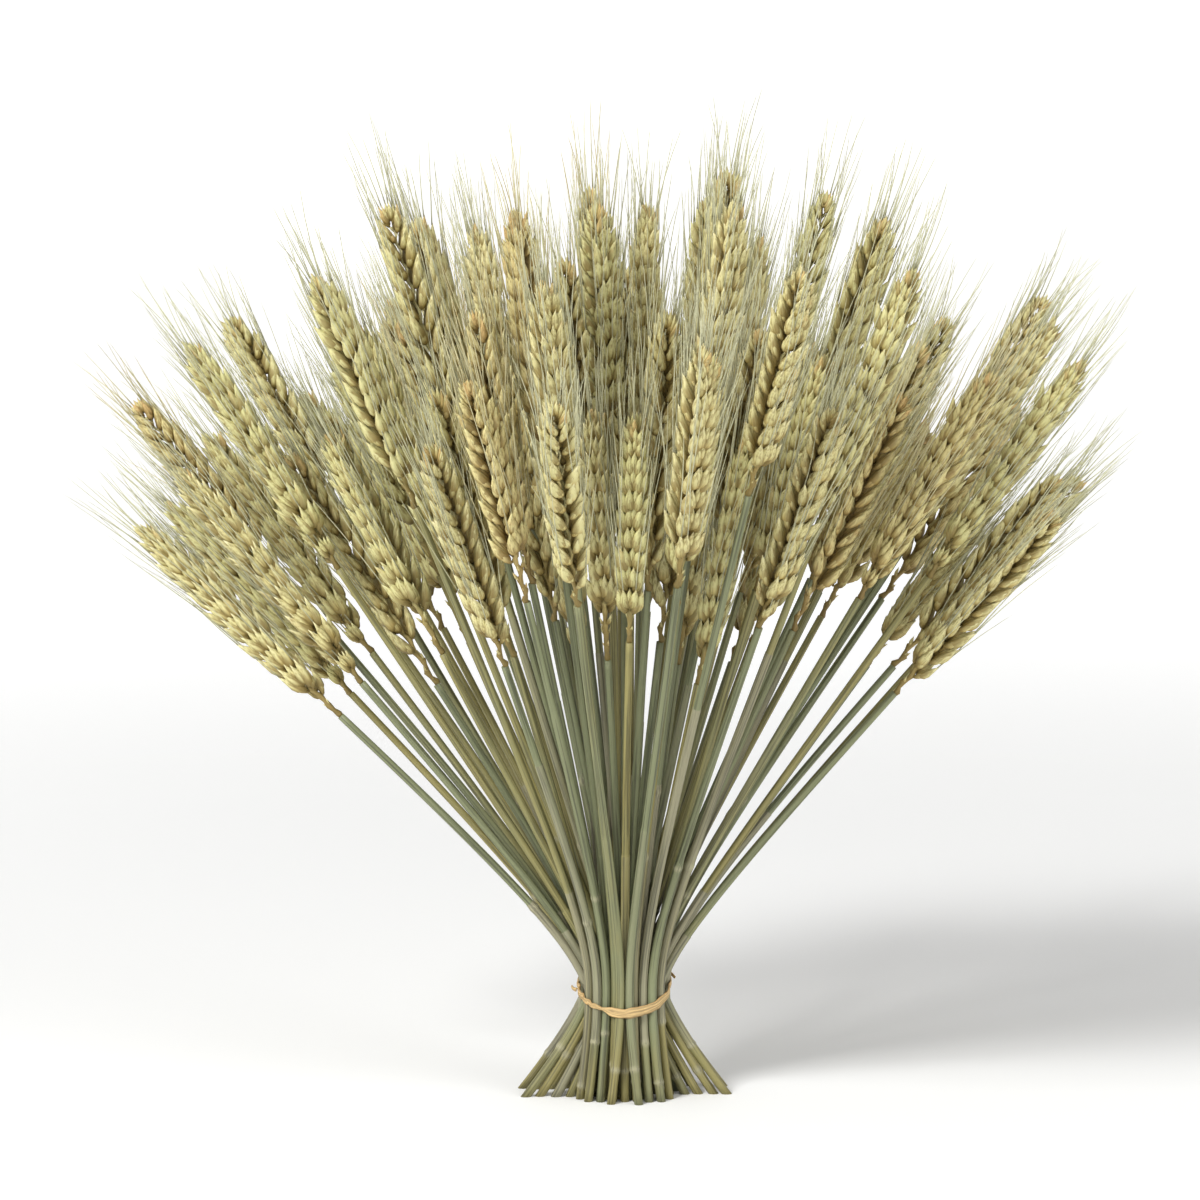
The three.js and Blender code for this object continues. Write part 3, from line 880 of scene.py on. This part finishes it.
def awn_place(root, share, dice):
    """An awn that starts at a husk's tip and runs up beside the ear."""
    aside = Vector((root.x, root.y, 0))
    slope = aside.normalized() * dice.uniform(*AWN_SLOPES)
    slope += Vector((dice.gauss(0, AWN_STRAY), dice.gauss(0, AWN_STRAY), 0))
    upwards = (Vector((0, 0, 1)) + slope).normalized()
    length = mix(*AWN_LENGTHS, share) * (1 - AWN_LENGTH_SPREAD * dice.random())
    turned = upwards.to_track_quat("Z", "X").to_matrix().to_4x4()
    stretched = Matrix.Diagonal((1, 1, length / AWN_FORM_LENGTH, 1))
    spun = Matrix.Rotation(dice.uniform(0, 2 * math.pi), 4, "Z")
    return Matrix.Translation(root - upwards * MM) @ turned @ stretched @ spun


def most_tint(share):
    """Most tint that a husk may have at a share of the ear's length: it grows towards both ends."""
    low, high = MIDDLE_OF_EAR
    tenths = max(low - share, share - high, 0) * 10
    return mix(*HUSK_TINTS, tenths)


def straight_ear(kind, husks, awns, rachis):
    """An ear on its spine, with every husk and awn a little different."""
    dice = random.Random(kind)
    parts = [copy_of(rachis, Matrix(), tint=SPINE_TINT)]
    for step in range(SPIKELETS):
        share = step / (SPIKELETS - 1)
        whole = spikelet_place(step, dice)
        stubbed = step < STUBBED_STEPS[kind]
        if stubbed:
            whole = whole @ Matrix.Scale(STUB_SIZE, 4)
        for husk in SPIKELET[:3] if stubbed else SPIKELET:
            place = whole @ husk_place(husk, dice)
            parts.append(copy_of(husks[husk[0]], place, tint=dice.random() * most_tint(share)))
            if not stubbed and dice.random() < husk[-1]:
                root = place @ Vector((0, 0, LEMMA[-1][0] * MM))
                parts.append(copy_of(dice.choice(awns), awn_place(root, share, dice), tint=dice.random()))
    return joined(f"ear_{kind}", parts)


class Line:
    """The line of a stalk with the directions beside it, to bend straight forms along."""

    def __init__(self, stalk):
        self.stalk = stalk
        self.neck = stalk.height_after(stalk.reach - stalk.ear)
        self.top = stalk.height_after(stalk.reach)
        self.heights = np.arange(-BAND_HEIGHT, self.top + LINE_STEP, LINE_STEP)
        self.middle = stalk.points(self.heights)
        along = stalk.points(self.heights + 0.5) - stalk.points(self.heights - 0.5)
        self.along = along / np.linalg.norm(along, axis=1, keepdims=True)
        right = np.array([1.0, 0, 0]) - self.along * self.along[:, :1]
        self.right = right / np.linalg.norm(right, axis=1, keepdims=True)
        self.back = np.cross(self.along, self.right)

    def at(self, heights, tracks):
        return np.column_stack([np.interp(heights, self.heights, track) for track in tracks.T])

    def bend(self, mesh, heights, turn, past=0.0):
        """Bends a straight mesh along the line. What is past the line's end goes straight on."""
        x, y, _ = places_of(mesh).T
        aside = x * math.cos(turn) - y * math.sin(turn)
        behind = x * math.sin(turn) + y * math.cos(turn)
        along = self.at(heights, self.along)
        places = self.at(heights, self.middle) + along * np.asarray(past)[..., None]
        beside = aside[:, None] * self.at(heights, self.right)
        places += beside + behind[:, None] * self.at(heights, self.back)
        foot = heights <= -BAND_HEIGHT
        places[foot] -= along[foot] * (places[foot, 2:] / along[foot, 2:])
        move_to(mesh, places)


def bent_stem(form, line):
    stem = copy_of(form, Matrix())
    share = places_of(stem.data)[:, 2] / STEM_LENGTH
    heights = mix(-BAND_HEIGHT, line.neck, share)
    line.bend(stem.data, heights, math.tau * chance(line.stalk.number, TURN_DRAW))
    return stem


def bent_ear(form, line):
    ear = copy_of(form, Matrix())
    share = places_of(ear.data)[:, 2] / EAR_LENGTH
    past = np.maximum(share - 1, 0) * line.stalk.ear
    line.bend(ear.data, mix(line.neck, line.top, np.minimum(share, 1)), line.stalk.roll, past)
    return ear


def wheat_stalk(stalk, stems, ears):
    """One stalk, with its own choice of a stem and an ear."""
    line = Line(stalk)
    stem = bent_stem(stems[int(chance(stalk.number, STEM_DRAW) * len(stems))], line)
    ear = bent_ear(ears[int(chance(stalk.number, EAR_DRAW) * len(ears))], line)
    for part in (stem, ear):
        set_fibre(part.data, fibre_of(part.data) + (0, 0, FIBRE_SHIFT * stalk.number))
        set_mark(part.data, "tone", chance(stalk.number, TONE_DRAW))
    return [stem, ear]


def swap_materials(piece, swaps):
    for slot in piece.material_slots:
        slot.material = swaps.get(slot.material, slot.material)


class WHEAT_OT_make_stalks(bpy.types.Operator):
    """Makes the wheat stalks, with their stems, husks and awns"""

    bl_idname = "wheat.make_stalks"
    bl_label = "Make Wheat Stalks"

    def execute(self, context):
        sizes = context.scene.wheat_sizes
        colours = context.scene.wheat_colours
        straw = straw_material("dried_straw", colours)
        pale = husk_material("pale_husk", colours.husk_pale, colours.husk_deep, colours.husk_tip)
        golden = husk_material("golden_husk", colours.golden_pale, colours.golden_deep, colours.husk_pale)
        bristle = awn_material("pale_awn", colours.awn, colours.stem_grey)
        golden_bristle = awn_material("golden_awn", colours.golden_awn, colours.golden_deep)
        foot = sizes.stem_width / MM / 2
        root = sizes.awn_width / MM / 2
        stems = [straight_stem(kind, foot, straw) for kind in range(len(STEM_KINDS))]
        husks = {"lemma": husk_form("lemma", LEMMA, pale), "glume": husk_form("glume", GLUME, pale)}
        awns = [awn_form(kind, root, bristle) for kind in range(len(AWN_BOWS))]
        rachis = rachis_form(pale)
        ears = [straight_ear(kind, husks, awns, rachis) for kind in range(EAR_KINDS)]
        for index, group in enumerate(stalk_groups()):
            parts = [part for stalk in group for part in wheat_stalk(stalk, stems, ears)]
            piece = joined(f"wheat_{index + 1:02d}", parts)
            ripe = index % GOLDEN_EVERY == GOLDEN_FIRST
            if ripe:
                swap_materials(piece, {pale: golden, bristle: golden_bristle})
            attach(piece, "root")
            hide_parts(f"stalk_{index + 1:02d}")
        scrap([*stems, *husks.values(), *awns, rachis, *ears])
        return {"FINISHED"}


# The tie


def ribbon_height(angle):
    angles, heights = zip(*RIBBON_HEIGHTS)
    return np.interp(np.degrees(angle) % 360, angles, heights)


def support(stalks, angle, height, radius):
    """How far the outermost stem reaches in a direction, at a height above the band's middle."""
    outwards = np.array([math.cos(angle), math.sin(angle)])
    reach = [(stalk.points(np.array([height]))[0, :2] @ outwards) + radius for stalk in stalks]
    return max(reach)


def ribbon_middle(stalks, angle, radius):
    """Distance and height of the line that the ribbon is laid on, at an angle round the bundle."""
    height = RIBBON_TILT * math.sin(angle) + RIBBON_RISE * math.cos(2 * angle)
    half = float(ribbon_height(angle)) / 2
    reach = max(support(stalks, angle, height + shift, radius) for shift in (-half, 0, half))
    return reach + RIBBON_GAP, BAND_HEIGHT + height


def wrinkle(angle):
    """How much the raffia is crumpled at an angle: most where it is twisted, on the left."""
    return np.exp(-(((np.degrees(angle) - WRINKLED_ANGLE) / WRINKLED_SPREAD) ** 4))


def shape_ribbon(mesh, stalks, radius):
    """Lays a plain ring round the stems as a strip with curled edges, folds and wrinkles."""
    places = places_of(mesh)
    angle = np.arctan2(places[:, 1], places[:, 0]) % math.tau
    across = places[:, 2] / np.abs(places[:, 2]).max()
    steps = np.round(angle / math.tau * RIBBON_STEPS).astype(int) % RIBBON_STEPS
    turns = (math.tau * step / RIBBON_STEPS for step in range(RIBBON_STEPS))
    track = np.array([ribbon_middle(stalks, turn, radius) for turn in turns])
    distance, middle = track[steps].T
    crumpled = wrinkle(angle)
    crown = RIBBON_CROWN * (1 - across**2)
    # Each wave has its height in millimetres, and the number of times that it goes round the bundle.
    ridges = 0.05 * np.sin(across * 9 + 3 * np.sin(angle * 3)) + 0.04 * np.sin(across * 17 + angle * 5)
    folds = crumpled * (0.42 * np.sin(across * 4.2 + angle * 26) + 0.2 * np.sin(angle * 61 + across * 3))
    wave = 0.1 * np.sin(angle * 9 + 1) + 0.09 * np.sin(angle * 17 + across)
    tall = ribbon_height(angle) * (1 + 0.05 * np.sin(angle * 13) + 0.04 * np.sin(angle * 29))
    out = distance + RIBBON_LIFT + crown + ridges + np.maximum(folds, -0.15) + 0.35 * crumpled
    up = middle + across * tall / 2 + wave + crumpled * 0.25 * np.sin(angle * 34)
    set_fibre(mesh, np.column_stack([angle * distance, across * FIBRE_HALF_WIDTH, 0 * angle]))
    set_mark(mesh, "share", np.abs(across))
    move_to(mesh, np.column_stack([np.cos(angle) * out, np.sin(angle) * out, up]))


def ribbon_ring(material):
    """A plain ring of quads round the waist, open at its top and bottom."""
    bpy.ops.object.select_all(action="DESELECT")
    bpy.ops.mesh.primitive_cylinder_add(
        vertices=RIBBON_STEPS, radius=RING_RADIUS * MM, depth=RING_HEIGHT * MM, end_fill_type="NOTHING"
    )
    ring = bpy.context.active_object
    bpy.ops.object.mode_set(mode="EDIT")
    for row in range(1, RIBBON_ROWS):
        bpy.ops.mesh.select_all(action="SELECT")
        level = (row / RIBBON_ROWS - 0.5) * RING_HEIGHT * MM
        bpy.ops.mesh.bisect(plane_co=(0, 0, level), plane_no=(0, 0, 1))
    bpy.ops.object.mode_set(mode="OBJECT")
    ring.data.materials.append(material)
    return ring


def thicken(piece, thickness):
    activate(piece)
    solidify = piece.modifiers.new("thickness", "SOLIDIFY")
    solidify.thickness = thickness
    solidify.offset = -1
    bpy.ops.object.modifier_apply(modifier=solidify.name)
    bpy.ops.object.mode_set(mode="EDIT")
    bpy.ops.mesh.select_all(action="SELECT")
    bpy.ops.mesh.normals_make_consistent(inside=False)
    bpy.ops.object.mode_set(mode="OBJECT")
    bpy.ops.object.shade_smooth()


def strip_along(name, points, wides, faces, material):
    """A flat strip whose middle follows points. Faces are the directions that it turns its flat side to."""
    bpy.ops.object.select_all(action="DESELECT")
    count = len(points)
    bpy.ops.mesh.primitive_grid_add(x_subdivisions=count - 1, y_subdivisions=STRIP_ROWS, size=2)
    strip = bpy.context.active_object
    strip.name = name
    places = np.array([vertex.co for vertex in strip.data.vertices])
    steps = np.round((places[:, 0] + 1) / 2 * (count - 1)).astype(int)
    across = places[:, 1]
    points = np.array(points)
    ahead = np.gradient(points, axis=0)
    side = np.cross(np.array(faces), ahead)
    side /= np.linalg.norm(side, axis=1, keepdims=True)
    face = np.cross(ahead, side)
    face /= np.linalg.norm(face, axis=1, keepdims=True)
    half = np.array(wides)[steps] / 2
    crown = STRIP_CROWN * (1 - across**2) + 0.06 * np.sin(across * 7)
    placed = points[steps] + side[steps] * (across * half)[:, None] + face[steps] * crown[:, None]
    run = np.concatenate([[0], np.linalg.norm(np.diff(points, axis=0), axis=1).cumsum()])
    fibre = np.column_stack([run[steps] + STRIP_FIBRE_START, across * FIBRE_HALF_WIDTH, 0 * across])
    set_fibre(strip.data, fibre)
    set_mark(strip.data, "share", np.abs(across))
    strip.data.materials.append(material)
    move_to(strip.data, placed)
    return strip


def ribbon_frame(stalks, angle, radius):
    """A point just outside the ribbon at an angle, with the directions outwards and around."""
    distance, middle = ribbon_middle(stalks, angle, radius)
    outwards = np.array([math.cos(angle), math.sin(angle), 0])
    centre = outwards * (distance + KNOT_CLEARANCE) + UPWARDS * middle
    return centre, outwards, np.cross(UPWARDS, outwards)


def knot_turn(place, lean, size, material):
    """One turn of the strip over itself in the knot."""
    centre, outwards, around = place
    turns = np.linspace(0, math.tau, KNOT_STEPS + 1)
    tilted = around * lean + UPWARDS
    deep = KNOT_HALF_DEPTH * size
    tall = KNOT_HALF_HEIGHT * size
    path = [centre + outwards * (deep * math.cos(t)) + tilted * (tall * math.sin(t)) for t in turns]
    flat = [outwards * math.cos(t) + tilted * math.sin(t) for t in turns]
    return strip_along("knot_turn", path, [KNOT_STRIP_WIDTH * size] * len(turns), flat, material)


def cut_end(place, run, rise, wide, material):
    """A cut end of the strip that stands out of the tie."""
    root, outwards, around = place
    start, grown, back = END_BOW
    shares = np.linspace(0, 1, END_STEPS + 1)
    path = [
        root + around * (run * s) + outwards * (start + grown * s - back * s * s) + UPWARDS * (rise * s * s)
        for s in shares
    ]
    wides = [wide * (1 - END_NARROWS * s) for s in shares]
    faces = [outwards + UPWARDS * END_FACES_UP] * len(shares)
    return strip_along("cut_end", path, wides, faces, material)


def knot_strips(stalks, radius, material):
    """The knot: the strip goes twice over itself. Its ends stand out, and so does one of a twisted ply."""
    knot = ribbon_frame(stalks, math.radians(KNOT_ANGLE), radius)
    ply = ribbon_frame(stalks, math.radians(PLY_END_ANGLE), radius)
    turns = [knot_turn(knot, lean, size, material) for lean, size in KNOT_TURNS]
    ends = [cut_end(knot, *end, material) for end in KNOT_ENDS]
    return [*turns, *ends, cut_end(ply, *PLY_END, material)]


class WHEAT_OT_tie_raffia(bpy.types.Operator):
    """Ties the raffia round the waist of the bundle"""

    bl_idname = "wheat.tie_raffia"
    bl_label = "Tie Raffia"

    def execute(self, context):
        sizes = context.scene.wheat_sizes
        material = raffia_material("raffia_fibre", context.scene.wheat_colours)
        stalks = [stalk for group in stalk_groups() for stalk in group]
        radius = sizes.stem_width / MM / 2
        ring = ribbon_ring(material)
        shape_ribbon(ring.data, stalks, radius)
        thicken(ring, sizes.ribbon_thickness)
        strips = knot_strips(stalks, radius, material)
        for strip in strips:
            thicken(strip, sizes.ribbon_thickness)
        piece = joined("raffia_tie", [ring, *strips])
        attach(piece, "root")
        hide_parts("band")
        return {"FINISHED"}


# The stage


def aim(thing, target):
    thing.rotation_euler = (Vector(target) - thing.location).to_track_quat("-Z", "Y").to_euler()


def soft_light(name, place, width, watts, target):
    bpy.ops.object.light_add(type="AREA", location=place)
    light = bpy.context.active_object
    light.name = name
    light.data.shape = "DISK"
    light.data.size = width
    light.data.energy = watts
    aim(light, target)


def swept_floor(radius, height, material):
    """A round floor that sweeps up all round, so that no edge shows behind the bundle."""
    bpy.ops.object.select_all(action="DESELECT")
    bpy.ops.mesh.primitive_circle_add(vertices=FLOOR_SIDES, radius=radius, fill_type="NGON")
    floor = bpy.context.active_object
    floor.name = "floor"
    bpy.ops.object.mode_set(mode="EDIT")
    bpy.ops.mesh.select_all(action="SELECT")
    bpy.ops.mesh.region_to_loop()
    reach, level = radius, 0.0
    for step in range(1, SWEEP_STEPS + 1):
        turn = math.radians(SWEEP_ANGLE) * step / SWEEP_STEPS
        next_reach = radius + SWEEP_DEPTH * math.sin(turn)
        next_level = height * (1 - math.cos(turn))
        bpy.ops.mesh.extrude_region_move(TRANSFORM_OT_translate={"value": (0, 0, next_level - level)})
        ratio = next_reach / reach
        bpy.ops.transform.resize(value=(ratio, ratio, 1), center_override=(0, 0, next_level))
        reach, level = next_reach, next_level
    bpy.ops.mesh.select_all(action="SELECT")
    bpy.ops.mesh.normals_make_consistent(inside=True)
    bpy.ops.object.mode_set(mode="OBJECT")
    bpy.ops.object.shade_smooth()
    floor.data.materials.append(material)
    return floor


class WHEAT_OT_set_stage(bpy.types.Operator):
    """Lays the floor and sets the light and the camera"""

    bl_idname = "wheat.set_stage"
    bl_label = "Set Stage"

    def execute(self, context):
        scene = context.scene
        sizes = scene.wheat_sizes
        pale = floor_material("pale_floor", scene.wheat_colours.floor, scene.wheat_colours.sweep)
        swept_floor(sizes.floor_radius, sizes.sweep_height, pale)
        middle = Vector(PICTURE_CENTRE)
        soft_light("key", *KEY_LIGHT, middle)
        soft_light("fill", *FILL_LIGHT, middle)
        world = bpy.data.worlds.new("soft_room")
        world.use_nodes = True
        background = world.node_tree.nodes["Background"]
        background.inputs["Color"].default_value = (1, 1, 1, 1)
        background.inputs["Strength"].default_value = ROOM_LIGHT
        scene.world = world
        scene.view_settings.view_transform = "Standard"
        distance = CAMERA_LENS * PICTURE_WIDTH / SENSOR_WIDTH
        tilt = math.radians(CAMERA_ELEVATION)
        away = Vector((0, -math.cos(tilt), math.sin(tilt))) * distance
        bpy.ops.object.camera_add(location=middle + away)
        camera = context.active_object
        camera.data.lens = CAMERA_LENS
        camera.data.sensor_width = SENSOR_WIDTH
        aim(camera, middle)
        scene.camera = camera
        return {"FINISHED"}


class WHEAT_PT_bundle(bpy.types.Panel):
    """Sizes, colours and steps of the wheat bundle"""

    bl_label = "Dried Wheat Bundle"
    bl_space_type = "VIEW_3D"
    bl_region_type = "UI"
    bl_category = "Wheat"

    def draw(self, context):
        for group in (context.scene.wheat_sizes, context.scene.wheat_colours):
            for name in group.__annotations__:
                self.layout.prop(group, name)
        for operator in OPERATORS:
            self.layout.operator(operator.bl_idname)


OPERATORS = (WHEAT_OT_make_stalks, WHEAT_OT_tie_raffia, WHEAT_OT_set_stage)
CLASSES = (WheatSizes, WheatColours, *OPERATORS, WHEAT_PT_bundle)


def register():
    for each in CLASSES:
        bpy.utils.register_class(each)
    bpy.types.Scene.wheat_sizes = bpy.props.PointerProperty(type=WheatSizes)
    bpy.types.Scene.wheat_colours = bpy.props.PointerProperty(type=WheatColours)


def unregister():
    del bpy.types.Scene.wheat_colours
    del bpy.types.Scene.wheat_sizes
    for each in reversed(CLASSES):
        bpy.utils.unregister_class(each)


def main():
    register()
    bpy.ops.wheat.make_stalks()
    bpy.ops.wheat.tie_raffia()
    bpy.ops.wheat.set_stage()


if __name__ == "__main__":
    main()
